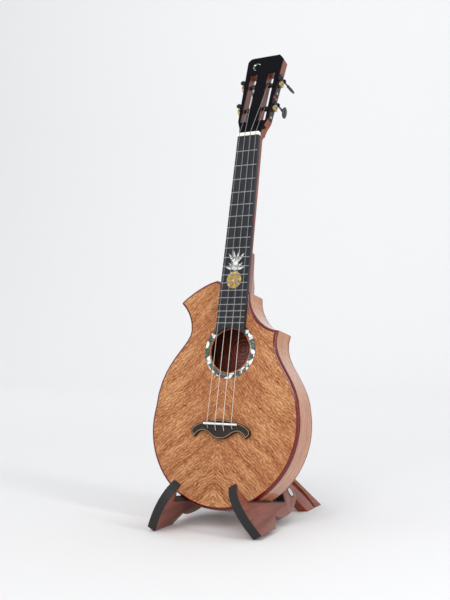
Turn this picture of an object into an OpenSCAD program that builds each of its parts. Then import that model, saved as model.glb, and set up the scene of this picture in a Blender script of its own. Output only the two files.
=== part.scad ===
// Four-string instrument of tenor ukulele size, leaning in a folding wooden stand.
// Units are millimetres. Z is up, the floor is Z = 0 and the instrument faces -Y.

/* [Instrument body] */
// Radius of the lower bout
bout_r = 118.5; // [112:0.5:124]
// Depth of the body from top to back
body_depth = 46; // [40:1:70]
// Thickness of the side wall
side_t = 2.2; // [1.5:0.1:3]
// Thickness of the soundboard
top_t = 2.2; // [1.5:0.1:3]
// Width of the bevelled edge binding
bind_w = 4; // [3:0.5:5]
// Soundhole radius
hole_r = 31.8; // [28:0.2:33]

/* [Neck and strings] */
// String length from nut to saddle
scale_len = 432; // [380:1:440]
// Fretboard width at the nut
nut_w = 35.5; // [33:0.5:38]
// Fretboard width at the twelfth fret
board_w12 = 43.5; // [40:0.5:47]
// Fretboard thickness
board_t = 5.8; // [4:0.2:7]
// Tilt of the headstock behind the neck
head_tilt = 12.5; // [8:0.5:16]
// Radius of the tuner rollers
roller_r = 3.2; // [2.6:0.1:3.6]

/* [Stand] */
// Inward tilt of the stand boards
tilt = 30; // [26:1:34]
// Thickness of the stand boards
wood_t = 12; // [10:1:14]
// Distance from the centre plane to the inner foot line
foot_x = 73; // [68:1:80]
// Radius of the pivot pins
pin_r = 4; // [3:0.5:5]

/* [Placement] */
// Backward lean of the instrument
lean = 11; // [9:0.5:12]
// Turn of the instrument in the stand
turn = -6; // [-8:1:0]
// Height of the tail above the floor
tail_z = 26.1; // [26:0.1:40]

/* [Hidden] */
$fn = 64;
n_frets = 19;
nut_z = 553;                 // fretboard end of the nut, from the tail
saddle_z = nut_z - scale_len - 2;
tail_at = [-4.9, -94.3, tail_z];
board_y = -141;              // front foot corner of the stand, along Y
D = body_depth;
hole_at = [0.6, 225.5];
string_x12 = [-1.5, -0.5, 0.5, 1.5];
nut_pitch = 9.2;
saddle_pitch = 13.1;
pin_at = [167, 37];
peg_at = [151, 55.7];
gap = 0.3;
tuner_s = [51.5, 95.5];      // roller distance from the nut, near and far
roller_y = 8;
side_turn = 2.9;             // taper of each head side
worm_off = 8;
worm_tip = 7.5;              // worms slope up towards the head's tip at their backs
gear_x = 4.2;                // gear centre plane outside the head side

// ---------- curves and outlines ----------
function arc(c, r, a0, a1, n) = [for (i = [0:n]) let (a = a0 + (a1 - a0) * i / n)
  [c[0] + r * cos(a), c[1] + r * sin(a)]];
function bez(p, q, r, s, n) = [for (i = [1:n]) let (t = i / n, u = 1 - t)
  u * u * u * p + 3 * u * u * t * q + 3 * u * t * t * r + t * t * t * s];
function unit(v) = v / norm(v);
function cross2(a, b) = a[0] * b[1] - a[1] * b[0];
// moves every edge of a counter-clockwise outline inwards by d
function inset(p, d) = [for (i = [0:len(p) - 1]) let (
    a = p[(i + len(p) - 1) % len(p)], b = p[i], c = p[(i + 1) % len(p)],
    u = unit(b - a), v = unit(c - b),
    m = [-u[1] - v[1], u[0] + v[0]])
  b + m * d / (1 + u * v)];

right_tip = [74, 256];
left_tip = [-91, 297];
c_in = [0, bout_r];
lower = arc(c_in, bout_r, 169, 372, 44);
body_pts = concat(
  lower,
  bez(lower[44], [109.5, 196], [61, 214], right_tip, 10),
  bez(right_tip, [53, 256], [23, 278], [22.5, 312], 9),
  [[-33, 331]],
  bez([-33, 331], [-52, 327], [-75, 312], left_tip, 6),
  bez(left_tip, [-81, 289], [-69.5, 275], [-69, 255], 6),
  [for (p = bez([-69, 255], [-68.5, 232], [-115.5, 210], lower[0], 10))
    if (norm(p - lower[0]) > 1) p]);

function fret_z(n) = nut_z - scale_len * (1 - pow(2, -n / 12));
function half_w(z) = (nut_w + (board_w12 - nut_w) * (nut_z - z) / (scale_len / 2)) / 2;

// ---------- frames ----------
module placed() {
  translate(tail_at) rotate([0, 0, turn]) rotate([-lean, 0, 0]) children();
}
module flat(y0, y1) {        // outline in x and z, from depth y0 to y1
  translate([0, y1, 0]) rotate([90, 0, 0]) linear_extrude(y1 - y0) children();
}
module ring(a, b, y0, y1) {
  flat(y0, y1) difference() {
    polygon(a == 0 ? body_pts : inset(body_pts, a));
    polygon(inset(body_pts, b));
  }
}
module head() {
  translate([0, -3, nut_z + 1]) rotate([-head_tilt, 0, 0]) children();
}
module tuner_at(i) {         // 0 near left, 1 near right, 2 far left, 3 far right
  side = i % 2 == 0 ? -1 : 1;
  s = tuner_s[i < 2 ? 0 : 1];
  head() translate([side * head_half(s), roller_y, s])
    rotate([0, side * side_turn, 0]) mirror([side < 0 ? 1 : 0, 0, 0]) children();
}
function head_half(s) = 24.8 + (s - 28) * tan(side_turn);
module on_board(side) {      // x = along b, y = up the board, z = outwards
  mirror([side < 0 ? 1 : 0, 0, 0]) translate([foot_x, board_y, 0])
    rotate([0, -tilt, 0]) rotate([90, 0, 90]) children();
}
module layer(n0, n1) {
  translate([0, 0, n0]) linear_extrude(n1 - n0) children();
}

// ---------- body ----------
module soundboard() {
  color("burlywood") placed() difference() {
    flat(0, top_t) difference() {
      polygon(inset(body_pts, bind_w));
      translate(hole_at) circle(hole_r);
    }
    flat(-1, 0.8) translate(hole_at) difference() {
      circle(hole_r + 9.9);
      circle(hole_r + 0.6);
    }
  }
}
module back_plate() {
  color("saddlebrown") placed() flat(D - 2.4, D) polygon(inset(body_pts, 3));
}
module side_wall() {
  color("peru") placed() ring(0, side_t, 5, D - 3);
}
module binding_top() {       // bevelled ring around the soundboard
  n = len(body_pts);
  c = 2.4;
  rows = [[0, 5], [0, c], [c, 0], [bind_w, 0], [bind_w, 5]];
  pts = [for (r = rows) let (o = r[0] == 0 ? body_pts : inset(body_pts, r[0]))
    for (p = o) [p[0], r[1], p[1]]];
  faces = [for (k = [0:4], i = [0:n - 1]) let (
      a = k * n, b = ((k + 1) % 5) * n, j = (i + 1) % n)
    [a + i, a + j, b + j, b + i]];
  color("firebrick") placed() polyhedron(pts, faces);
}
module binding_back() {
  color("firebrick") placed() ring(0, 3, D - 3, D);
}
module rosette() {
  color("lightcyan") placed() flat(0, 0.8) translate(hole_at) difference() {
    circle(hole_r + 8.9);
    circle(hole_r + 1.6);
  }
}
module rosette_lines() {
  color("darkred") placed() flat(0, 0.8) translate(hole_at) {
    difference() { circle(hole_r + 9.9); circle(hole_r + 8.9); }
    difference() { circle(hole_r + 1.6); circle(hole_r + 0.6); }
  }
}
module lining_top() {
  color("tan") placed() {
    ring(bind_w, 8, top_t, 5);
    ring(side_t, 8, 5, 11);
  }
}
module lining_back() {
  color("tan") placed() {
    ring(side_t, 8, D - 9, D - 3);
    ring(3, 8, D - 3, D - 2.4);
  }
}
module end_blocks() {        // tail block and neck block between the linings
  color("tan") placed() flat(11, D - 9) intersection() {
    polygon(inset(body_pts, side_t));
    union() {
      translate([-26, 0]) square([52, 14]);
      translate([-24, 288]) square([46, 50]);
    }
  }
}
module brace(z, w, y0, y1) {
  flat(y0, y1) intersection() {
    polygon(inset(body_pts, 8));
    translate([-130, z]) square([260, w]);
  }
}
module top_braces() {
  color("wheat") placed() {
    brace(268, 7, top_t, 10);
    brace(176, 7, top_t, 10);
    flat(top_t, 7) for (s = [-1, 1])
      translate([-2 + s * 34, 60]) rotate(s * 12) square([5, 38]);
  }
}
module back_braces() {
  color("wheat") placed() for (z = [72, 150, 268])
    brace(z, 7, D - 10.4, D - 2.4);
}
module bridge_plate() {
  color("tan") placed() flat(top_t, 4.2) translate([-60, 100]) square([120, 30]);
}

// ---------- neck and headstock ----------
module head_outline() {
  polygon(concat([[-17.9, 4], [17.9, 4], [19.5, 14], [head_half(28), 28],
    [head_half(140), 140], [head_half(140) - 7, 148]],
    [for (p = arc([-head_half(140) + 9, 138], 9, 90, 174, 8)) p],
    [[-head_half(28), 28], [-19.5, 14]]));
}
module slot_shape(side) {
  translate([side * 15, 0]) translate([-6.3, 26]) square([12.6, 89]);
}
module neck() {
  color("sienna") placed() difference() {
    union() {
      intersection() {         // shaft
        translate([0, -10, 235]) cylinder(r = 25, h = nut_z + 5 - 235);
        flat(0, 30) polygon([[-half_w(235), 235], [half_w(235), 235],
          [half_w(nut_z), nut_z + 5], [-half_w(nut_z), nut_z + 5]]);
      }
      intersection() {         // heel
        translate([-30, 0, 0]) rotate([90, 0, 90]) linear_extrude(60)
          polygon(concat([[0, 300], [D - 4, 300], [D - 4, 326]],
            bez([D - 4, 326], [D - 8, 338], [22, 340], [13, 372], 8), [[0, 372]]));
        translate([0, 0, 290]) linear_extrude(90)
          polygon([[-21, 0], [-19, 15], [-13, 30], [-8, D], [8, D], [13, 30],
            [19, 15], [21, 0]]);
      }
      head() difference() {    // slotted head core
        flat(2, 16) head_outline();
        for (s = [-1, 1]) {
          flat(-1, 20) slot_shape(s);
          translate([s * 15 - 6, 2, 26]) rotate([42, 0, 0])
            translate([0, -12, -12]) cube([12, 12, 12]);
        }
      }
      head() intersection() {  // volute that joins the head to the shaft
        translate([-16.6, 0.5, -7]) cube([33.2, 15, 12.4]);
        rotate([head_tilt, 0, 0]) translate([-20, 3, -3]) cube([40, 12, 13]);
      }
    }
    flat(-2, D + 2) polygon(body_pts);
    translate([-40, -12, 200]) cube([80, 12, nut_z + 5 - 200]);
    for (i = [0:3]) tuner_at(i) translate([-23, 0, 0]) rotate([0, 90, 0])
      cylinder(r = roller_r + 0.05, h = 26);
  }
}
module head_plate() {
  color("#15151c") placed() difference() {
    head() difference() {
      flat(0, 2) head_outline();
      for (s = [-1, 1]) flat(-1, 3) slot_shape(s);
      flat(-1, 0.6) mark();
    }
    translate([-40, -40, 500]) cube([80, 60, nut_z + 5 - 500]);
  }
}
module mark() {              // plain ring segment
  translate([-13.5, 130]) difference() {
    circle(6.6);
    translate([2.2, -1.6]) circle(5.6);
  }
}
module head_mark() {
  color("paleturquoise") placed() head() flat(0, 0.6) mark();
}
module board_plan() {
  difference() {
    polygon([[-half_w(247), 247], [half_w(247), 247],
      [half_w(nut_z), nut_z], [-half_w(nut_z), nut_z]]);
    translate(hole_at) circle(hole_r + 0.8);
  }
}
module leaf(at, l, w) {      // one pointed leaf, l long
  rotate(at) polygon([[0, 0], [w * 0.7, l * 0.3], [w, l * 0.55], [w * 0.5, l * 0.85],
    [0, l], [-w * 0.8, l * 0.6], [-w * 0.6, l * 0.3]]);
}
module leaf_fan() {          // two tiers of pointed leaves above the fruit
  translate([-0.8, 352]) {
    for (at = [-36, -13, 13, 36]) leaf(at, 23 - abs(at) * 0.02, 2.2);
    translate([0, -8]) for (at = [-74, -46, -18, 18, 46, 74]) leaf(at, 16, 2.1);
    translate([-1.4, -9]) square([2.8, 12]);
  }
}
module fruit() {
  translate([-0.8, 329.3]) polygon([for (i = [0:23]) let (a = i * 15)
    [12 * cos(a), 13 * sin(a)]]);
}
module fret_slots() {
  for (n = [1:n_frets]) translate([-40, -0.45 + fret_z(n)]) square([80, 0.9]);
}
module fretboard() {
  color("dimgray") placed() difference() {
    flat(-board_t, 0) board_plan();
    flat(-board_t - 1, -board_t + 0.6) { leaf_fan(); fruit(); }
    flat(-board_t - 1, -board_t + 1.4) fret_slots();
  }
}
module frets() {
  color("silver") placed() for (n = [1:n_frets]) {
    z = fret_z(n);
    w = half_w(z) - 0.4;
    difference() {
      translate([-w, -board_t + 0.1, z]) rotate([0, 90, 0])
        cylinder(r = 0.85, h = 2 * w, $fn = 32);
      translate([-w - 1, -board_t, z - 3]) cube([2 * w + 2, 3, 6]);
    }
    intersection() {
      flat(-board_t, -board_t + 1.4) polygon([[-w, z - 0.45], [w, z - 0.45],
        [w, z + 0.45], [-w, z + 0.45]]);
      flat(-board_t, 0) board_plan();
    }
  }
}
module nut() {
  color("ivory") placed()
    translate([-nut_w / 2, -7.4, nut_z]) cube([nut_w, 7.4, 5]);
}
module inlay_leaf() {
  color("whitesmoke") placed() intersection() {
    flat(-board_t, -board_t + 0.6) difference() { leaf_fan(); fruit(); fret_slots(); }
    flat(-board_t, 0) board_plan();
  }
}
module inlay_fruit() {
  color("goldenrod") placed() flat(-board_t, -board_t + 0.6)
    difference() { fruit(); fret_slots(); }
}

// ---------- bridge and strings ----------
function half_bridge(k) = concat(
  bez([0, 126], [16, 124.5], [38, 122], [46.5, 111], 8),
  [[47, 106], [41, 100]],
  bez([41, 100], [36, 110], [27, 112], [18, 106], 6),
  bez([18, 106], [12, 101], [8, 98.5], [0, 98.5], 5));
function mirrored(p) = [for (i = [len(p) - 2:-1:0]) [-p[i][0], p[i][1]]];
bridge_pts = let (h = half_bridge(0)) [for (p = concat([[0, 126]], h, mirrored(h))) p];
function rev(p) = [for (i = [len(p) - 1:-1:0]) p[i]];
bridge_ccw = rev([for (i = [0:len(bridge_pts) - 2]) bridge_pts[i]]);
module bridge() {
  color("#4a4038") placed() difference() {
    flat(-6, 0) polygon(bridge_ccw);
    flat(-7, -5.4) difference() {
      polygon(inset(bridge_ccw, 1));
      polygon(inset(bridge_ccw, 1.5));
    }
    translate([-26.1, -7, saddle_z - 1.4]) cube([52.2, 5, 2.8]);
    for (k = string_x12) translate([k * saddle_pitch, -2, hole_z(k)])
      rotate([90, 0, 0]) cylinder(r = 1.5, h = 6, $fn = 24);
  }
}
function hole_z(k) = abs(k) > 1 ? saddle_z - 7.5 : saddle_z - 10.5;
module bridge_line() {
  color("tan") placed() flat(-6, -5.4) difference() {
    polygon(inset(bridge_ccw, 1));
    polygon(inset(bridge_ccw, 1.5));
  }
}
module saddle() {
  color("ivory") placed() intersection() {
    translate([-26.1, -10.4, saddle_z - 1.4]) cube([52.2, 8.4, 2.8]);
    union() {
      translate([-30, -9, saddle_z]) rotate([0, 90, 0]) cylinder(r = 1.4, h = 60);
      translate([-30, -9, saddle_z - 1.4]) cube([60, 8, 2.8]);
    }
  }
}
module string_eyes() {       // small bushings where the strings enter the bridge
  color("#222222") placed() for (k = string_x12)
    translate([k * saddle_pitch, -2, hole_z(k)]) rotate([90, 0, 0])
      difference() {
        cylinder(r = 1.5, h = 4.3, $fn = 24);
        translate([0, 0, -1]) cylinder(r = 0.7, h = 6, $fn = 24);
      }
}
function gauge(k) = k < -1 ? 0.32 : k < 0 ? 0.42 : k < 1 ? 0.46 : 0.36;
module rod(a, b, r) {
  d = b - a;
  translate(a) rotate([0, acos(d[2] / norm(d)), atan2(d[1], d[0])])
    cylinder(r = r, h = norm(d), $fn = 16);
}
// a head-frame point in the instrument's frame
function from_head(p) = [p[0], -3 + p[1] * cos(head_tilt) + p[2] * sin(head_tilt),
  nut_z + 1 - p[1] * sin(head_tilt) + p[2] * cos(head_tilt)];
module strings() {
  color("white") placed() for (k = string_x12) {
    r = gauge(k);
    top = [k * nut_pitch, -7.42 - r, nut_z + 4.6];
    sad = [k * saddle_pitch, -10.6 - r, saddle_z];
    far = abs(k) < 1;
    s = tuner_s[far ? 1 : 0];
    end = from_head([sign(k) * (far ? 12.2 : 14.6), roller_y - roller_r - 1.6,
      s - 1]);
    rod(top, sad, r);
    rod(sad - [0, 0, 0.7], [k * saddle_pitch, -6.6, hole_z(k) + 1.2], r);
    rod(top + [0, 0, 0.7], end, r);
  }
}

// ---------- tuners: x points away from the head side ----------
module tuner_plates() {
  color("#26262a") placed() for (i = [0:3]) tuner_at(i) difference() {
    union() {
      translate([0.02, 0, 0]) rotate([90, 0, 90]) linear_extrude(1.18) union() {
        translate([-5.5, -19]) square([11, 32]);
        translate([-3.2, -21]) circle(2.6);
        translate([3.2, -20]) circle(2.6);
        translate([0, 13]) circle(5.5);
      }
      rotate([worm_tip, 0, 0]) for (y = [-6.6, 5]) worm_bearing(y);
    }
    translate([-1, 0, 0]) rotate([0, 90, 0]) cylinder(r = roller_r + 0.05, h = 4);
    for (z = [-17, 15]) translate([0.5, 0, z]) rotate([0, 90, 0])
      cylinder(r = 1.9, h = 2, $fn = 24);
    for (z = [-17, 15]) translate([-1, 0, z]) rotate([0, 90, 0])
      cylinder(r = 1.1, h = 3, $fn = 24);
  }
}
module worm_bearing(y) {     // eye that carries the worm, on a foot from the plate
  difference() {
    translate([gear_x, y, worm_off]) rotate([90, 0, 0]) rotate([180, 0, 0]) union() {
      cylinder(r = 3.6, h = 1.6);
      translate([-gear_x + 0.6, -2.6, 0]) cube([gear_x, 5.2, 1.6]);
    }
    translate([gear_x, y - 1, worm_off]) rotate([-90, 0, 0])
      cylinder(r = 1.45, h = 4);
  }
}
module tuner_screws() {
  color("silver") placed() for (i = [0:3]) tuner_at(i) for (z = [-17, 15])
    translate([0, 0, z]) difference() {
      rotate([0, 90, 0]) union() {
        translate([0, 0, 0.5]) cylinder(r = 1.9, h = 1, $fn = 24);
        translate([0, 0, 0]) cylinder(r = 1.1, h = 0.6, $fn = 24);
      }
      translate([1.2, -2, -0.2]) cube([1, 4, 0.4]);
    }
}
module roller(i) {
  color("#1c1c22") placed() tuner_at(i) {
    translate([-22, 0, 0]) rotate([0, 90, 0])
      cylinder(r = roller_r, h = 23.1);
    translate([1.1, 0, 0]) rotate([0, 90, 0]) cylinder(r = 1.5, h = gear_x + 1.2);
    for (k = [0:3]) translate([winding_x(i) + k * 0.95, 0, 0])
      rotate([0, 90, 0]) cylinder(r = roller_r + 0.9, h = 0.9);
  }
}
function winding_x(i) = -(head_half(tuner_s[i < 2 ? 0 : 1])
  - (i < 2 ? 14.6 : 12.2)) - 2;
module gear(i) {
  color("gold") placed() tuner_at(i) difference() {
    union() {
      translate([gear_x - 1.6, 0, 0]) rotate([0, 90, 0]) cylinder(r = 4.6, h = 3.2);
      for (k = [0:13]) rotate([k * 360 / 14, 0, 0])
        translate([gear_x - 1.6, -0.6, 4]) cube([3.2, 1.2, 1.7]);
      translate([gear_x + 1.5, 0, 0]) rotate([0, 90, 0]) cylinder(r = 2.2, h = 0.7);
    }
    rotate([0, 90, 0]) cylinder(r = 1.5, h = gear_x + 2.3);
    translate([gear_x + 1.7, -3, -0.3]) cube([2, 6, 0.6]);
  }
}
module worm(i) {
  color("goldenrod") placed() tuner_at(i) rotate([worm_tip, 0, 0])
    translate([gear_x, 0, worm_off]) rotate([-90, 0, 0]) union() {
      translate([0, 0, -6.6]) cylinder(r = 1.4, h = 32);
      for (k = [-4:3]) translate([0, 0, k + 0.2]) cylinder(r = 2, h = 0.6);
      translate([0, 0, -7.4]) cylinder(r = 2.3, h = 0.8);
      translate([0, 0, 7.2]) cylinder(r = 2.3, h = 1.2);
    }
}
module button(i) {
  color("#2a2a30") placed() tuner_at(i) rotate([worm_tip, 0, 0])
    translate([gear_x, 0, worm_off]) rotate([-90, 0, 0])
    rotate([70, 90, 120, 45][i])
    difference() {
      union() {
        translate([0, 0, 20]) cylinder(r = 2.3, h = 6);
        intersection() {
          translate([0, 0, 30.5]) rotate([90, 0, 0])
            translate([0, 0, -2.7]) linear_extrude(5.4)
            polygon([for (a = [0:10:350]) [9.6 * cos(a), 6.8 * sin(a)]]);
          translate([0, 0, 22]) cylinder(r = 9.4, h = 20);
        }
      }
      translate([0, 0, 10]) cylinder(r = 1.4, h = 15.4);
    }
}
module roller_1() { roller(0); }
module roller_2() { roller(1); }
module roller_3() { roller(2); }
module roller_4() { roller(3); }
module gear_1() { gear(0); }
module gear_2() { gear(1); }
module gear_3() { gear(2); }
module gear_4() { gear(3); }
module worm_1() { worm(0); }
module worm_2() { worm(1); }
module worm_3() { worm(2); }
module worm_4() { worm(3); }
module button_1() { button(0); }
module button_2() { button(1); }
module button_3() { button(2); }
module button_4() { button(3); }

// ---------- stand ----------
front_arc = concat([[0, 0]], bez([0, 0], [-15, 27], [-24, 58], [4, 74], 12));
function notch_h(b) = 50.1 - 0.1684 * b;
lobe_r = 19;
module front_shape() {
  polygon(concat(rev(front_arc), [[54, 0], [74, 15]],
    bez([74, 15], [96, 5], [142, 5], [180, 27], 8),
    arc(pin_at, 19, -28, 112, 10),
    [[146, 49], [139, 39], [131, notch_h(131) - 1.5],
     [9, notch_h(9) - 1.5], [3.5, 60]]));
}
module strip_shape() {       // rubber along the front edge
  n = len(front_arc);
  a = [for (p = front_arc) p];
  b = [for (i = [0:n - 1]) let (p = front_arc[max(i - 1, 0)],
      q = front_arc[min(i + 1, n - 1)], u = unit(q - p))
    front_arc[i] + [-u[1], u[0]] * 2.4];
  polygon(concat([for (p = a) p], rev(b)));
}
module front_board(side) {
  color("rosybrown") on_board(side) difference() {
    layer(0, wood_t) front_shape();
    translate([pin_at[0], pin_at[1], -1]) cylinder(r = pin_r + 0.05, h = wood_t + 2);
    translate([pin_at[0], pin_at[1], wood_t - 1]) cylinder(r = 6.6, h = 3);
  }
}
module front_board_left() { front_board(-1); }
module front_board_right() { front_board(1); }
module edge_strip(side) {
  color("#303234") on_board(side) layer(0, wood_t) intersection() {
    strip_shape();
    translate([-60, 0.3]) square([200, 100]);
  }
}
module edge_strip_left() { edge_strip(-1); }
module edge_strip_right() { edge_strip(1); }
module notch_pad(side) {
  color("#303234") on_board(side) layer(0, wood_t)
    polygon([[9, notch_h(9) - 1.5], [131, notch_h(131) - 1.5], [139, 39],
      [146, 49], [144.6, 50], [137.6, 40], [130.2, notch_h(130.2)],
      [10.2, notch_h(10.2)], [5, 60], [3.5, 60]]);
}
module notch_pad_left() { notch_pad(-1); }
module notch_pad_right() { notch_pad(1); }
rear_shape_pts = concat([[231, 0], [299, 0], [299 - 112 / 1.053, 112],
    [112, 112], [119, 92], [143, 50]],
  arc(pin_at, 17, 150, 300, 10), [[201, 31.5], [208.4, 25.6], [219.2, 13.8]]);
module rear_board(side) {
  color("indianred") on_board(side) difference() {
    layer(-13, -1) polygon(rear_shape_pts);
    layer(-5, 0) polygon(concat(
      bez([208, 62], [232, 38], [259, 20], [262.5, -1], 8), [[262.5, -2], [270, -2]],
      bez([270, -1], [266, 22], [246, 44], [226, 62], 8)));
    translate([pin_at[0], pin_at[1], -14]) cylinder(r = pin_r, h = 14);
    translate([peg_at[0], peg_at[1], -14]) cylinder(r = 4, h = 14);
    rotate([-90, 0, 0]) rotate([0, 0, -90]) rotate([0, tilt, 0])   // floor cut
      translate([-60, -400, -40]) cube([120, 800, 40]);
  }
}
module rear_board_left() { rear_board(-1); }
module rear_board_right() { rear_board(1); }
// half width of the space between the rear boards at height z
function between(z) = foot_x - z * tan(tilt) - 13 / cos(tilt);
module spine_section(z0, z1) {
  polygon([[-between(z0), z0], [between(z0), z0], [between(z1), z1],
    [-between(z1), z1]]);
}
module spine() {
  color("indianred") translate([0, board_y + 176, 0]) rotate([90, 0, 0])
    linear_extrude(63) spine_section(72, 90);
}
module back_pad() {
  color("#303234") translate([0, board_y + 113, 0]) rotate([90, 0, 0])
    linear_extrude(6.1) spine_section(72, 90);
}
module spine_bolts() {       // round heads on the rear boards' outer faces
  color("silver") for (s = [-1, 1]) on_board(s) for (b = [140, 172])
    translate([b, 101, -1]) cylinder(r = 4.5, h = 1.4);
}
module pivot_pins() {
  color("silver") for (s = [-1, 1]) on_board(s)
    translate([pin_at[0], pin_at[1], 0]) {
      translate([0, 0, -13]) cylinder(r = pin_r, h = 13 + wood_t);
      translate([0, 0, wood_t - 0.7]) cylinder(r = 6.2, h = 1.5);
      translate([0, 0, -1]) cylinder(r = 8, h = 0.9);
    }
}
module stop_pegs() {
  color("silver") for (s = [-1, 1]) on_board(s)
    translate([peg_at[0], peg_at[1], -13]) cylinder(r = 4, h = 22);
}

soundboard();
back_plate();
side_wall();
binding_top();
binding_back();
rosette();
rosette_lines();
lining_top();
lining_back();
end_blocks();
top_braces();
back_braces();
bridge_plate();
neck();
head_plate();
head_mark();
fretboard();
frets();
nut();
inlay_leaf();
inlay_fruit();
bridge();
bridge_line();
saddle();
strings();
string_eyes();
tuner_plates();
tuner_screws();
roller_1();
roller_2();
roller_3();
roller_4();
gear_1();
gear_2();
gear_3();
gear_4();
worm_1();
worm_2();
worm_3();
worm_4();
button_1();
button_2();
button_3();
button_4();
front_board_left();
front_board_right();
edge_strip_left();
edge_strip_right();
notch_pad_left();
notch_pad_right();
rear_board_left();
rear_board_right();
spine();
back_pad();
spine_bolts();
pivot_pins();
stop_pegs();
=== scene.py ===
"""Looks for a four-string ukulele that leans in a folding wooden stand."""

import logging
import math
from dataclasses import dataclass
from enum import Enum

import bmesh
import bpy
from mathutils import Euler, Matrix, Vector
from mathutils.bvhtree import BVHTree


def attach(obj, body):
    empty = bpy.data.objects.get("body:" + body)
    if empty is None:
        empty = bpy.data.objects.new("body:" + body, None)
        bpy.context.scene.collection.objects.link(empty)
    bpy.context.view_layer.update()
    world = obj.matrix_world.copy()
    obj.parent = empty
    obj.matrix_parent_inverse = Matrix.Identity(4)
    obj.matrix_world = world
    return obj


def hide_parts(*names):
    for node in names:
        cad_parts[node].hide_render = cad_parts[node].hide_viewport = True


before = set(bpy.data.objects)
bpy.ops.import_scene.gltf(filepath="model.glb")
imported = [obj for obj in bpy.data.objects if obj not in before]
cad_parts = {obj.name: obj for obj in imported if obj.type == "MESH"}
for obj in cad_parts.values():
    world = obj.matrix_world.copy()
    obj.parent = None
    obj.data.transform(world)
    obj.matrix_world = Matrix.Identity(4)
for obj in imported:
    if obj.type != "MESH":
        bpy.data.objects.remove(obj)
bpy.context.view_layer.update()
log = logging.getLogger("ukulele")

Colour = tuple[float, float, float]
TAIL = Vector((-0.0049, -0.0943, 0.0261))
LEAN = Euler((math.radians(-11), 0.0, math.radians(-6)))
HEAD_LEAN = math.radians(-12.5)
NUT_UP = 0.554
SHARP = math.radians(38)
FLAT = math.radians(0.6)
WELD = 2e-6
TOUCHING = 0.0004


def tone(red: int, green: int, blue: int) -> Colour:
    """Gives the linear colour of a paint-chart tone of 0 to 255."""
    parts = [v / 255 for v in (red, green, blue)]
    return tuple(v / 12.92 if v <= 0.04045 else ((v + 0.055) / 1.055) ** 2.4
                 for v in parts)


class Side(Enum):
    """The two sides of the object as its front is faced."""

    LEFT = -1
    RIGHT = 1


# ---------------------------------------------------------------- shading
class Ink:
    """A node socket whose sums are written as Python sums."""

    def __init__(self, recipe: "Recipe", socket: bpy.types.NodeSocket) -> None:
        """Wraps one output socket of a recipe."""
        self.recipe = recipe
        self.socket = socket

    def sum(self, operation: str, first: object, second: object = 0.0) -> "Ink":
        """Adds one Math node and gives its result."""
        return self.recipe.node("ShaderNodeMath", {"operation": operation}, {0: first, 1: second})

    def __add__(self, other: object) -> "Ink":
        """Adds a value or socket."""
        return self.sum("ADD", self, other)

    def __radd__(self, other: object) -> "Ink":
        """Adds to a value."""
        return self.sum("ADD", other, self)

    def __sub__(self, other: object) -> "Ink":
        """Takes a value or socket away."""
        return self.sum("SUBTRACT", self, other)

    def __rsub__(self, other: object) -> "Ink":
        """Is taken away from a value."""
        return self.sum("SUBTRACT", other, self)

    def __mul__(self, other: object) -> "Ink":
        """Multiplies by a value or socket."""
        return self.sum("MULTIPLY", self, other)

    def __rmul__(self, other: object) -> "Ink":
        """Multiplies a value."""
        return self.sum("MULTIPLY", other, self)

    def __abs__(self) -> "Ink":
        """Drops the sign."""
        return self.sum("ABSOLUTE", self)

    def wave(self) -> "Ink":
        """Gives its sine, moved to run from 0 to 1."""
        return self.sum("SINE", self) * 0.5 + 0.5


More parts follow.
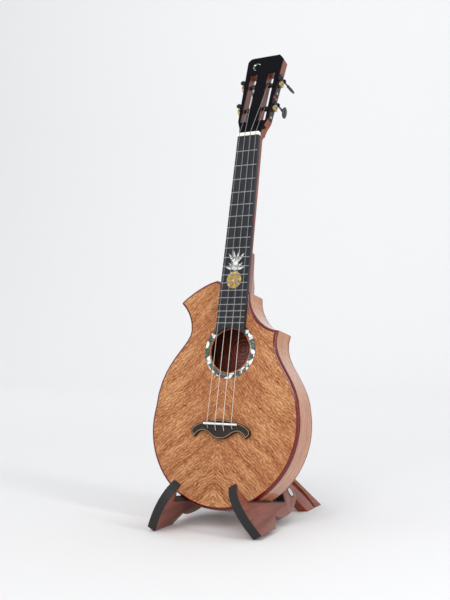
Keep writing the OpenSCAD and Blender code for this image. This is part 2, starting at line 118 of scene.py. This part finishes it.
class Recipe:
    """Builds one material out of nodes."""

    def __init__(self, name: str) -> None:
        """Starts an empty material with that name."""
        self.material = bpy.data.materials.new(name)
        self.material.use_nodes = True
        self.tree = self.material.node_tree
        self.tree.nodes.clear()

    def node(self, kind: str, settings: dict, values: dict, output: object = 0) -> Ink:
        """Adds a node.

        Args:
            kind: The node's type.
            settings: What is set on the node itself; "stops" fills its ramp.
            values: What its input sockets hold or are linked to.
            output: The name or number of the output wanted.

        Returns:
            The output socket, wrapped.
        """
        made = self.tree.nodes.new(kind)
        for name, value in settings.items():
            if name == "stops":
                ramp = made.color_ramp
                while len(ramp.elements) < len(value):
                    ramp.elements.new(1.0)
                for element, (place, colour) in zip(ramp.elements, value):
                    element.position = place
                    element.color = (*colour, 1.0)
            else:
                setattr(made, name, value)
        for name, value in values.items():
            if isinstance(value, Ink):
                self.tree.links.new(value.socket, made.inputs[name])
            else:
                made.inputs[name].default_value = value
        return Ink(self, made.outputs[output])

    def place(self, spot: Vector = Vector(), turn: Euler = Euler()) -> Ink:
        """Gives the surface's place in a frame that sits at spot, turned by turn."""
        here = self.node("ShaderNodeTexCoord", {}, {}, "Object")
        return self.node("ShaderNodeMapping", {"vector_type": "TEXTURE"},
                         {"Vector": here, "Location": spot, "Rotation": turn})

    def split(self, vector: Ink) -> tuple[Ink, Ink, Ink]:
        """Takes a vector apart.

        Args:
            vector: The vector.

        Returns:
            Its three numbers.
        """
        first = self.node("ShaderNodeSeparateXYZ", {}, {"Vector": vector})
        outs = first.socket.node.outputs
        return Ink(self, outs[0]), Ink(self, outs[1]), Ink(self, outs[2])

    def join(self, across: object, deep: object, up: object) -> Ink:
        """Makes a vector of three numbers."""
        return self.node("ShaderNodeCombineXYZ", {}, {0: across, 1: deep, 2: up})

    def noise(self, where: Ink, scale: float, detail: float = 3.0, wander: float = 0.0) -> Ink:
        """Gives cloudy noise from 0 to 1."""
        return self.node("ShaderNodeTexNoise", {},
                         {"Vector": where, "Scale": scale, "Detail": detail, "Distortion": wander})

    def ramp(self, factor: Ink, stops: list[tuple[float, Colour]]) -> Ink:
        """Turns a number into a colour."""
        return self.node("ShaderNodeValToRGB", {"stops": stops}, {0: factor})

    def level(self, factor: Ink, low: float, high: float, first: float = 0.0,
              last: float = 1.0) -> Ink:
        """Stretches the range low to high on to first to last, and holds it there."""
        return self.node("ShaderNodeMapRange", {},
                         {0: factor, 1: low, 2: high, 3: first, 4: last})

    def mix(self, factor: object, under: object, over: object) -> Ink:
        """Mixes two colours.

        Args:
            factor: How much of the second shows, from 0 to 1.
            under: The first colour, fixed or linked.
            over: The second colour, fixed or linked.

        Returns:
            The mixed colour.
        """
        fill = {name: (*v, 1.0) if isinstance(v, tuple) else v
                for name, v in ((6, under), (7, over))}
        return self.node("ShaderNodeMix", {"data_type": "RGBA"}, {0: factor, **fill}, 2)

    def surface(self, colour: object, rough: object, *, metal: float = 0.0, coat: float = 0.0,
                coat_rough: float = 0.05, height: Ink | None = None, strength: float = 0.3,
                distance: float = 0.0002, extra: dict | None = None) -> bpy.types.Material:
        """Ends the recipe with its shader.

        Args:
            colour: The base colour, fixed or linked.
            rough: The roughness, fixed or linked.
            metal: How metallic it is.
            coat: The weight of the clear coat.
            coat_rough: The clear coat's roughness.
            height: What raises the surface, if anything does.
            strength: The strength of that relief.
            distance: The depth of that relief in metres.
            extra: More of the shader's sockets and their numbers.

        Returns:
            The finished material.
        """
        values = {"Base Color": (*colour, 1.0) if isinstance(colour, tuple) else colour,
                  "Roughness": rough, "Metallic": metal, "Coat Weight": coat,
                  "Coat Roughness": coat_rough, **(extra or {})}
        if height is not None:
            bump = {"Height": height, "Strength": strength, "Distance": distance}
            values["Normal"] = self.node("ShaderNodeBump", {}, bump, "Normal")
        shader = self.node("ShaderNodeBsdfPrincipled", {}, values)
        end = self.tree.nodes.new("ShaderNodeOutputMaterial")
        self.tree.links.new(shader.socket, end.inputs["Surface"])
        return self.material


# ---------------------------------------------------------------- finishes
@dataclass(frozen=True)
class CurlyTop:
    """Lacquered curly wood, book-matched so that its ripples meet in chevrons."""

    dark: Colour = tone(128, 66, 32)
    middle: Colour = tone(174, 112, 66)
    light: Colour = tone(210, 160, 112)
    slope: float = 0.86
    seam: float = -0.004
    ripple_length: float = 0.0052
    slip: float = 17.0
    band_grain: tuple[float, float] = (48, 8)
    broad_grain: tuple[float, float] = (130, 26)
    slip_grain: tuple[float, float] = (90, 75)
    blister_grain: tuple[float, float] = (330, 130)
    shares: tuple[float, float, float, float] = (0.24, 0.32, 0.13, 0.45)

    def build(self) -> bpy.types.Material:
        """Makes the material."""
        r = Recipe("curly_top")
        x, _, z = r.split(r.place(TAIL, LEAN))
        wide = abs(x - self.seam)
        sway = (r.noise(r.join(wide * 9, 0.0, z * 7), 1.0, 1.0) - 0.5) * 0.034
        over = z + wide * self.slope + sway
        along = wide - z * self.slope

        def figure(grain: tuple[float, float], start: float, detail: float, wander: float) -> Ink:
            """Gives noise drawn out along the ripples."""
            where = r.join(over * grain[0], along * grain[1], start)
            return r.noise(where, 1.0, detail, wander)

        slip = figure(self.slip_grain, 1.0, 3.0, 0.4)
        wave = (over * (math.tau / self.ripple_length) + slip * self.slip).wave()
        band = figure(self.band_grain, 3.0, 1.0, 0.4)
        broad = figure(self.broad_grain, 0.4, 2.0, 0.3)
        blister = figure(self.blister_grain, 2.0, 2.0, 0.6)
        in_band, in_broad, in_wave, in_blister = self.shares
        fig = band * in_band + broad * in_broad + wave * in_wave + blister * in_blister
        stops = [(0.0, self.dark), (0.46, self.middle), (1.0, self.light)]
        wood = r.ramp(r.level(fig, 0.43, 0.73), stops)
        cloud = r.noise(r.join(wide * 16, 0.0, z * 7), 1.0, 2.0)
        wood = r.mix(r.level(cloud, 0.42, 0.68, 0.0, 0.26), wood, tone(150, 76, 28))
        pore = r.noise(r.join(x * 1500, 0.0, z * 130), 1.0, 1.0)
        wood = r.mix(r.level(pore, 0.60, 0.74, 0.0, 0.45), wood, tone(104, 54, 24))
        return r.surface(wood, 0.45, coat=0.15, coat_rough=0.16, height=broad + blister,
                         strength=0.08, extra={"Specular IOR Level": 0.35})


@dataclass(frozen=True)
class Streaked:
    """Wood whose figure is drawn out along one way."""

    name: str
    dark: Colour
    light: Colour
    stretch: tuple[float, float, float]
    rough: float = 0.4
    coat: float = 0.0
    wander: float = 0.6
    vein: float = 0.35
    leaning: bool = True
    relief: float = 0.08
    shine: float = 0.5
    knot: tuple[float, float, float] | None = None

    def build(self) -> bpy.types.Material:
        """Makes the material."""
        r = Recipe(self.name)
        here = r.place(TAIL, LEAN) if self.leaning else r.place()
        x, y, z = r.split(here)
        where = r.join(x * self.stretch[0], y * self.stretch[1], z * self.stretch[2])
        slow = r.noise(where, 1.0, 3.0, self.wander)
        fast = r.noise(where, 4.2, 2.0, self.wander * 0.4)
        figure = r.level(slow * 0.62 + fast * 0.38, 0.30, 0.70)
        wood = r.ramp(figure, [(0.0, self.dark), (1.0, self.light)])
        vein = r.noise(where, 1.9, 1.0, self.wander * 1.6)
        line = r.level(abs(vein - 0.5), 0.0, 0.035, self.vein, 0.0)
        wood = r.mix(line, wood, tuple(v * 0.38 for v in self.dark))
        if self.knot:
            away = r.node("ShaderNodeVectorMath", {"operation": "DISTANCE"},
                          {0: here, 1: self.knot}, "Value")
            swirl = (away * 1150 + r.noise(here, 70.0, 2.0, 0.8) * 9.0).wave()
            near = r.level(away, 0.016, 0.034, 1.0, 0.0)
            wood = r.mix(near * 0.75, wood, r.mix(swirl, tone(72, 22, 18), tone(164, 78, 56)))
        rough = r.level(fast, 0.3, 0.7, self.rough - 0.05, self.rough + 0.06)
        return r.surface(wood, rough, coat=self.coat, coat_rough=0.08, height=fast,
                         strength=self.relief, extra={"Specular IOR Level": self.shine})


@dataclass(frozen=True)
class Lacquer:
    """A smooth coloured surface with faint clouding."""

    name: str
    colour: Colour
    rough: float = 0.25
    coat: float = 0.0
    grain: float = 300.0
    spread: float = 0.16
    relief: float = 0.03
    shine: float = 0.5

    def build(self) -> bpy.types.Material:
        """Makes the material."""
        r = Recipe(self.name)
        cloud = r.noise(r.place(), self.grain, 3.0)
        deep = tuple(v * (1 - self.spread) for v in self.colour)
        pale = tuple(min(1.0, v * (1 + self.spread)) for v in self.colour)
        paint = r.ramp(r.level(cloud, 0.3, 0.7), [(0.0, deep), (1.0, pale)])
        rough = r.level(cloud, 0.3, 0.7, self.rough * 0.85, self.rough * 1.2)
        return r.surface(paint, rough, coat=self.coat, height=cloud, strength=self.relief,
                         extra={"Specular IOR Level": self.shine})


@dataclass(frozen=True)
class Metal:
    """Bare or plated metal with fine wear."""

    name: str
    colour: Colour
    rough: float = 0.22
    wear: float = 900.0

    def build(self) -> bpy.types.Material:
        """Makes the material."""
        r = Recipe(self.name)
        scuff = r.noise(r.place(), self.wear, 3.0)
        dull = tuple(v * 0.8 for v in self.colour)
        skin = r.ramp(r.level(scuff, 0.35, 0.65), [(0.0, dull), (1.0, self.colour)])
        rough = r.level(scuff, 0.3, 0.7, self.rough * 0.8, self.rough * 1.4)
        return r.surface(skin, rough, metal=1.0, height=scuff, strength=0.04)


@dataclass(frozen=True)
class Shell:
    """Pearl shell laid in tiles, some plain white and some mottled green and grey."""

    name: str
    plain: Colour
    stops: tuple[tuple[float, Colour], ...]
    size: float = 125.0
    plain_share: float = 0.42

    def build(self) -> bpy.types.Material:
        """Makes the material."""
        r = Recipe(self.name)
        here = r.place(TAIL, LEAN)
        bend = r.noise(here, 150.0, 2.0)
        x, _, z = r.split(here)
        where = r.join(x + bend * 0.005, 0.0, z + bend * 0.005)
        tile = r.node("ShaderNodeTexVoronoi", {}, {"Vector": where, "Scale": self.size}, "Color")
        pick = r.split(tile)[0]
        fine = r.noise(where, 430.0, 3.0, 1.6)
        mottle = r.ramp(r.level(fine, 0.33, 0.67), list(self.stops))
        bright = r.level(fine, 0.3, 0.7, 0.86, 1.0)
        white = r.mix(bright, tuple(v * 0.7 for v in self.plain), self.plain)
        glow = r.mix(r.level(pick, self.plain_share - 0.02, self.plain_share + 0.02), white, mottle)
        seam = r.node("ShaderNodeTexVoronoi", {"feature": "DISTANCE_TO_EDGE"},
                      {"Vector": where, "Scale": self.size}, "Distance")
        glow = r.mix(r.level(seam, 0.0, 0.09, 0.85, 0.0), glow, tone(30, 38, 38))
        return r.surface(glow, 0.16, coat=0.7, height=fine, strength=0.04)


@dataclass(frozen=True)
class Rubber:
    """Dull black rubber with a fine tooth."""

    colour: Colour = tone(26, 26, 28)

    def build(self) -> bpy.types.Material:
        """Makes the material."""
        r = Recipe("black_rubber")
        tooth = r.noise(r.place(), 1800.0, 3.0)
        dust = r.noise(r.place(), 60.0, 2.0)
        worn = tuple(v * 0.8 for v in self.colour)
        skin = r.ramp(r.level(dust, 0.3, 0.7), [(0.0, worn), (1.0, self.colour)])
        return r.surface(skin, r.level(dust, 0.3, 0.7, 0.6, 0.75), height=tooth, strength=0.25)


@dataclass(frozen=True)
class Nylon:
    """Slightly clear string, pale over the body, with painted shade that darkens it over the
    fingerboard.
    """

    pale: Colour = tone(212, 206, 200)
    # Painted shade: this colour stands in for the dark fingerboard seen through and around the thin
    # strings.
    grey: Colour = tone(128, 128, 128)
    board_end: float = 0.25

    def build(self) -> bpy.types.Material:
        """Makes the material."""
        r = Recipe("nylon_string")
        cloud = r.noise(r.place(), 500.0, 2.0)
        up = r.split(r.place(TAIL, LEAN))[2]
        # Painted shade: the strings are darkened where they cross the fingerboard.
        board_shade_mask = r.level(up, self.board_end - 0.03, self.board_end + 0.04)
        skin = r.mix(board_shade_mask, self.pale, self.grey)
        skin = r.mix(r.level(cloud, 0.3, 0.7, 0.0, 0.2), skin, tone(110, 108, 106))
        return r.surface(skin, 0.3, coat=0.2)


PEARL = ((0.0, tone(10, 15, 17)), (0.34, tone(28, 40, 40)), (0.5, tone(64, 88, 82)),
         (0.62, tone(24, 36, 40)), (0.8, tone(116, 144, 128)), (1.0, tone(196, 206, 188)))
WHITE_PEARL = ((0.0, tone(178, 184, 178)), (0.5, tone(214, 218, 212)), (1.0, tone(236, 238, 234)))
GOLD_PEARL = ((0.0, tone(150, 112, 44)), (0.5, tone(192, 152, 66)), (1.0, tone(222, 190, 104)))


class Paints:
    """Every finish of the object, made once."""

    def __init__(self) -> None:
        """Makes the materials."""
        self.top = CurlyTop().build()
        self.back = Streaked("rosewood", tone(54, 16, 10), tone(132, 62, 44), (46, 46, 9),
                             0.34, 0.3, 2.2, 0.8, knot=(-0.0016, 0.0436, 0.2359)).build()
        self.side = Streaked("curly_side", tone(154, 90, 54), tone(194, 134, 88), (10, 70, 10),
                             0.24, 0.7, 0.5, 0.06).build()
        self.neck = Streaked("cedar_neck", tone(96, 40, 26), tone(150, 78, 56), (120, 120, 11),
                             0.34, 0.25, 0.5, 0.3).build()
        # Painted shade: the timber inside the body gets a darker wood colour that stands in for the
        # shade inside it.
        self.inner = Streaked("inner_mahogany", tone(84, 50, 32), tone(126, 82, 56), (160, 160, 18),
                              0.6, 0.0, 0.3, 0.15).build()
        self.board = Streaked("fingerboard", tone(24, 26, 31), tone(50, 53, 60), (420, 420, 26),
                              0.42, 0.0, 0.4, 0.3, shine=0.3).build()
        self.bridge = Streaked("bridge_wood", tone(30, 23, 21), tone(54, 43, 39), (30, 160, 240),
                               0.44, 0.0, 0.4, 0.3, shine=0.3).build()
        self.front = Streaked("stand_front", tone(94, 42, 30), tone(146, 80, 62), (95, 9, 95),
                              0.38, 0.05, 0.5, 0.25, False, shine=0.3).build()
        self.rear = Streaked("stand_rear", tone(96, 36, 22), tone(156, 78, 52), (95, 9, 95),
                             0.38, 0.05, 0.5, 0.35, False, shine=0.3).build()
        self.line = Lacquer("pale_line", tone(196, 158, 118), 0.4).build()
        self.binding = Lacquer("red_binding", tone(98, 5, 8), 0.2, 0.8, relief=0.0,
                               shine=0.2).build()
        self.red_line = Lacquer("red_line", tone(150, 74, 40), 0.2, 0.6).build()
        self.face = Lacquer("black_face", tone(9, 10, 16), 0.2, 0.05, shine=0.06).build()
        self.bone = Lacquer("bone", tone(248, 246, 238), 0.3, 0.3, 200.0, 0.04).build()
        self.black = Lacquer("black_plate", tone(24, 24, 28), 0.26, 0.2, 900.0, shine=0.4).build()
        self.button = Lacquer("black_button", tone(24, 25, 29), 0.18, 0.5, 160.0, 0.25).build()
        self.pearl = Shell("pearl_mosaic", tone(246, 247, 243), PEARL).build()
        self.leaf = Shell("white_pearl", tone(244, 245, 240), WHITE_PEARL, 160.0).build()
        self.fruit = Shell("gold_pearl", tone(226, 192, 106), GOLD_PEARL, 260.0).build()
        self.wire = Metal("fret_wire", tone(182, 180, 176), 0.28).build()
        self.brass = Metal("brass", tone(226, 202, 150), 0.24).build()
        self.steel = Metal("bright_steel", tone(226, 226, 228), 0.2).build()
        self.rubber = Rubber().build()
        self.nylon = Nylon().build()


# ---------------------------------------------------------------- shapes
def dress(node: str, paint: bpy.types.Material) -> None:
    """Gives a carried-over part its finish."""
    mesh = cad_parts[node].data
    mesh.materials.clear()
    mesh.materials.append(paint)
    log.info("dressed %s in %s", node, paint.name)


def piece(name: str, mesh: bmesh.types.BMesh, paint: bpy.types.Material, body: str,
          instead: str | None = None) -> bpy.types.Object:
    """Turns a bmesh into a finished piece.

    Args:
        name: The piece's name.
        mesh: Its shape, in place.
        paint: Its finish.
        body: The rigid body it moves with.
        instead: The carried-over part it stands for, if it does.

    Returns:
        The new object.
    """
    data = bpy.data.meshes.new(name)
    mesh.to_mesh(data)
    mesh.free()
    data.materials.append(paint)
    data.shade_smooth()
    made = bpy.data.objects.new(name, data)
    bpy.context.scene.collection.objects.link(made)
    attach(made, body)
    if instead:
        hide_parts(instead)
    log.info("built %s, %d faces", name, len(data.polygons))
    return made


def softened(node: str, name: str, paint: bpy.types.Material, body: str, width: float,
             *, beside: str | None = None) -> bpy.types.Object:
    """Copies a carried-over part with its edges rounded.

    Args:
        node: The part that is copied.
        name: The copy's name.
        paint: Its finish.
        body: The rigid body it moves with.
        width: How far the rounding reaches from an edge, in metres.
        beside: For a ring, the part that it is let in against, where its edges stay sharp.

    Returns:
        The rounded copy.
    """
    mesh = bmesh.new()
    mesh.from_mesh(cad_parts[node].data)
    bmesh.ops.remove_doubles(mesh, verts=mesh.verts, dist=WELD)
    if beside:
        near = bmesh.new()
        near.from_mesh(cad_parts[beside].data)
        tree = BVHTree.FromBMesh(near)
        near.free()
        free = {v for v in mesh.verts if tree.find_nearest(v.co)[3] > TOUCHING}
        weight = mesh.edges.layers.float.new("bevel_weight_edge")
        for edge in mesh.edges:
            sharp = edge.calc_face_angle(0.0) > SHARP
            edge[weight] = 1.0 if sharp and free.issuperset(edge.verts) else 0.0
    else:
        bmesh.ops.dissolve_limit(mesh, angle_limit=FLAT, verts=mesh.verts, edges=mesh.edges)
    made = piece(name, mesh, paint, body, node)
    round_off = made.modifiers.new("round_off", "BEVEL")
    round_off.width = width
    round_off.segments = 3
    round_off.limit_method = "WEIGHT" if beside else "ANGLE"
    round_off.angle_limit = SHARP
    round_off.use_clamp_overlap = True
    round_off.harden_normals = True
    return made


@dataclass
class Body:
    """The hollow body with its binding, rosette and inner timber."""

    paints: Paints

    def build(self) -> None:
        """Dresses the parts of the body."""
        p = self.paints
        for node, paint in (("soundboard", p.top), ("back_plate", p.back), ("side_wall", p.side),
                            ("rosette", p.pearl), ("rosette_lines", p.red_line)):
            dress(node, paint)
        # Painted shade: the inner timber is darker than its own colour, standing in for the shade
        # inside the body.
        for node in ("lining_top", "lining_back", "end_blocks", "top_braces", "back_braces",
                     "bridge_plate"):
            dress(node, p.inner)
        for face, plate, reach in (("top", "soundboard", 0.0016), ("back", "back_plate", 0.0010)):
            softened(f"binding_{face}", f"red_edge_{face}", p.binding, "instrument", reach,
                     beside=plate)


@dataclass
class Neck:
    """The neck, fingerboard and slotted head."""

    paints: Paints

    def build(self) -> None:
        """Dresses the parts of the neck."""
        p = self.paints
        for node, paint in (("neck", p.neck), ("head_plate", p.face), ("head_mark", p.pearl),
                            ("fretboard", p.board), ("frets", p.wire), ("nut", p.bone),
                            ("inlay_leaf", p.leaf), ("inlay_fruit", p.fruit)):
            dress(node, paint)


@dataclass
class Bridge:
    """The bridge, its saddle and the strings."""

    paints: Paints

    def build(self) -> None:
        """Dresses the parts of the bridge."""
        p = self.paints
        for node, paint in (("bridge", p.bridge), ("bridge_line", p.line), ("saddle", p.bone),
                            ("strings", p.nylon), ("string_eyes", p.black)):
            dress(node, paint)


@dataclass
class Tuners:
    """Four geared tuners in the sides of the head."""

    paints: Paints
    reach: tuple[float, float] = (0.0515, 0.0955)
    taper: float = math.radians(2.9)
    head_half: float = 0.0248
    taper_start: float = 0.028
    head_set_back: float = 0.003
    roller_deep: float = 0.008
    gear_out: float = 0.0042
    worm_slope: float = math.radians(7.5)
    worm_back: float = 0.008
    faces: tuple[float, ...] = (70.0, 90.0, 120.0, 45.0)
    oval_half: float = 0.0095
    oval_thick: float = 0.0026
    oval_share: float = 0.70
    oval_out: float = 0.0305
    fullness: float = 0.8
    collar: tuple[tuple[float, float], ...] = (
        (0.0014, 0.0201), (0.0022, 0.0203), (0.0024, 0.0212),
        (0.0019, 0.0222), (0.0021, 0.0232), (0.0014, 0.0244))

    def spot(self, number: int) -> Matrix:
        """Finds where a tuner sits.

        Args:
            number: The tuner's number, odd on the left and even on the right.

        Returns:
            Its frame, with the first axis pointing out of the head.
        """
        side = -1 if number % 2 else 1
        up = self.reach[0 if number < 3 else 1]
        half = self.head_half + (up - self.taper_start) * math.tan(self.taper)
        place = Matrix.Translation(TAIL) @ LEAN.to_matrix().to_4x4()
        place @= Matrix.Translation((0, -self.head_set_back, NUT_UP))
        place @= Matrix.Rotation(HEAD_LEAN, 4, "X")
        place @= Matrix.Translation((side * half, self.roller_deep, up))
        place @= Matrix.Rotation(side * self.taper, 4, "Y")
        return place @ Matrix.Scale(side, 4, (1, 0, 0))

    def button(self, number: int) -> None:
        """Builds one oval button on its collar.

        Args:
            number: The tuner's number.
        """
        mesh = bmesh.new()
        oval = bmesh.ops.create_uvsphere(mesh, u_segments=40, v_segments=24,
                                         radius=self.oval_half)["verts"]
        for vert in oval:
            flat = vert.co.y / self.oval_half
            vert.co.y = math.copysign(abs(flat) ** self.fullness, flat) * self.oval_thick
            vert.co.z *= self.oval_share
        bmesh.ops.translate(mesh, verts=oval, vec=(0, 0, self.oval_out))
        rim = [mesh.verts.new((across, 0, out)) for across, out in self.collar]
        edges = [mesh.edges.new(pair) for pair in zip(rim, rim[1:])]
        bmesh.ops.spin(mesh, geom=rim + edges, cent=(0, 0, 0), axis=(0, 0, 1), angle=math.tau,
                       steps=24, use_merge=True, use_normal_flip=False)
        bmesh.ops.remove_doubles(mesh, verts=mesh.verts, dist=1e-7)
        bmesh.ops.recalc_face_normals(mesh, faces=mesh.faces)
        self.stand_out(mesh, number)
        piece(f"oval_button_{number}", mesh, self.paints.button, f"knob_{number}",
              f"button_{number}")

    def stand_out(self, mesh: bmesh.types.BMesh, number: int) -> None:
        """Moves a shape built along its own third axis on to a tuner's worm.

        Args:
            mesh: The shape.
            number: The tuner's number.
        """
        turn = math.radians(self.faces[number - 1])
        place = self.spot(number) @ Matrix.Rotation(self.worm_slope, 4, "X")
        place @= Matrix.Translation((self.gear_out, 0, self.worm_back))
        place @= Matrix.Rotation(math.radians(-90), 4, "X") @ Matrix.Rotation(turn, 4, "Z")
        bmesh.ops.transform(mesh, matrix=place, verts=mesh.verts)
        if place.determinant() < 0:
            bmesh.ops.reverse_faces(mesh, faces=mesh.faces)

    def build(self) -> None:
        """Builds the buttons and dresses the rest."""
        p = self.paints
        dress("tuner_plates", p.black)
        dress("tuner_screws", p.steel)
        for number in range(1, 5):
            dress(f"roller_{number}", p.black)
            dress(f"gear_{number}", p.brass)
            dress(f"worm_{number}", p.black)
            self.button(number)


@dataclass
class Stand:
    """The folding stand with its four boards."""

    paints: Paints
    round_off: float = 0.0009

    def build(self) -> None:
        """Rounds the boards and dresses the fittings."""
        p = self.paints
        for side in Side:
            word = side.name.lower()
            softened(f"front_board_{word}", f"front_plank_{word}", p.front, f"front_{word}",
                     self.round_off)
            softened(f"rear_board_{word}", f"rear_plank_{word}", p.rear, "stand", self.round_off)
            dress(f"edge_strip_{word}", p.rubber)
            dress(f"notch_pad_{word}", p.rubber)
        for node, paint in (("spine", p.rear), ("back_pad", p.rubber), ("spine_bolts", p.steel),
                            ("pivot_pins", p.steel), ("stop_pegs", p.steel)):
            dress(node, paint)


# ---------------------------------------------------------------- studio
@dataclass
class Studio:
    """The pale room, its soft lights and the camera."""

    eye: tuple[float, float, float] = (0.5389, -1.3457, 0.2638)
    yaw: float = 22.897
    pitch: float = 2.309
    roll: float = 0.153
    lens: float = 58.36
    paper_half: float = 14.0
    paper_front: float = -9.0
    paper_back: float = 3.2
    paper_curve: float = 2.0
    paper_rise: float = 6.0

    def sweep(self) -> None:
        """Lays the floor that curves up into the wall behind."""
        mesh = bmesh.new()
        left = -self.paper_half
        start = [mesh.verts.new((left, self.paper_front, 0)),
                 mesh.verts.new((left, self.paper_back, 0))]
        mesh.edges.new(start)
        centre = (left, self.paper_back, self.paper_curve)
        bmesh.ops.spin(mesh, geom=[start[1]], cent=centre, axis=(1, 0, 0),
                       angle=math.radians(90), steps=24)
        top = max(mesh.verts, key=lambda v: v.co.z)
        rise = bmesh.ops.extrude_vert_indiv(mesh, verts=[top])["verts"]
        bmesh.ops.translate(mesh, verts=rise, vec=(0, 0, self.paper_rise))
        wide = bmesh.ops.extrude_edge_only(mesh, edges=mesh.edges[:])["geom"]
        far = [part for part in wide if isinstance(part, bmesh.types.BMVert)]
        bmesh.ops.translate(mesh, verts=far, vec=(2 * self.paper_half, 0, 0))
        bmesh.ops.recalc_face_normals(mesh, faces=mesh.faces)
        data = bpy.data.meshes.new("sweep")
        mesh.to_mesh(data)
        mesh.free()
        data.shade_smooth()
        r = Recipe("studio_paper")
        data.materials.append(r.surface(tone(238, 239, 241), 0.85))
        floor = bpy.data.objects.new("sweep", data)
        bpy.context.scene.collection.objects.link(floor)

    def lamp(self, name: str, spot: tuple[float, float, float], aim: tuple[float, float, float],
             size: tuple[float, float], power: float) -> None:
        """Hangs one soft box.

        Args:
            name: The lamp's name.
            spot: Where it hangs.
            aim: What it faces.
            size: Its width and height.
            power: Its strength in watts.
        """
        light = bpy.data.lights.new(name, "AREA")
        light.shape = "RECTANGLE"
        light.size, light.size_y = size
        light.energy = power
        hung = bpy.data.objects.new(name, light)
        hung.location = spot
        hung.rotation_euler = (Vector(aim) - Vector(spot)).to_track_quat("-Z", "Y").to_euler()
        bpy.context.scene.collection.objects.link(hung)

    def camera(self) -> None:
        """Sets the camera up."""
        yaw, pitch = math.radians(self.yaw), math.radians(self.pitch)
        ahead = Vector((-math.sin(yaw) * math.cos(pitch), math.cos(yaw) * math.cos(pitch),
                        math.sin(pitch)))
        lens = bpy.data.cameras.new("camera")
        lens.sensor_fit = "VERTICAL"
        lens.sensor_height = 36.0
        lens.lens = self.lens
        lens.clip_end = 60.0
        eye = bpy.data.objects.new("camera", lens)
        turn = ahead.to_track_quat("-Z", "Y").to_matrix()
        turn = turn @ Matrix.Rotation(math.radians(self.roll), 3, "Z")
        eye.matrix_world = Matrix.Translation(self.eye) @ turn.to_4x4()
        bpy.context.scene.collection.objects.link(eye)
        bpy.context.scene.camera = eye

    def build(self) -> None:
        """Sets up the room."""
        self.sweep()
        world = bpy.data.worlds.new("room")
        world.use_nodes = True
        sky = world.node_tree.nodes["Background"]
        sky.inputs["Color"].default_value = (1.0, 0.995, 0.99, 1.0)
        sky.inputs["Strength"].default_value = 0.75
        bpy.context.scene.world = world
        bpy.context.scene.view_settings.view_transform = "Standard"
        self.lamp("key", (0.2, -3.1, 2.5), (0, 0, 0.3), (1.5, 1.3), 44.0)
        self.lamp("strip", (1.9, -0.9, 1.0), (0, 0, 0.25), (0.3, 1.7), 17.0)
        self.lamp("wall", (-1.2, 1.4, 3.6), (-1.6, 5.2, 1.4), (6.0, 1.0), 53.0)
        self.camera()


def main() -> None:
    """Builds every sub-assembly in order."""
    logging.basicConfig(level=logging.INFO, format="%(name)s: %(message)s")
    paints = Paints()
    for part in (Body(paints), Neck(paints), Bridge(paints), Tuners(paints), Stand(paints)):
        log.info("building %s", type(part).__name__)
        part.build()
    Studio().build()


if __name__ == "__main__":
    main()
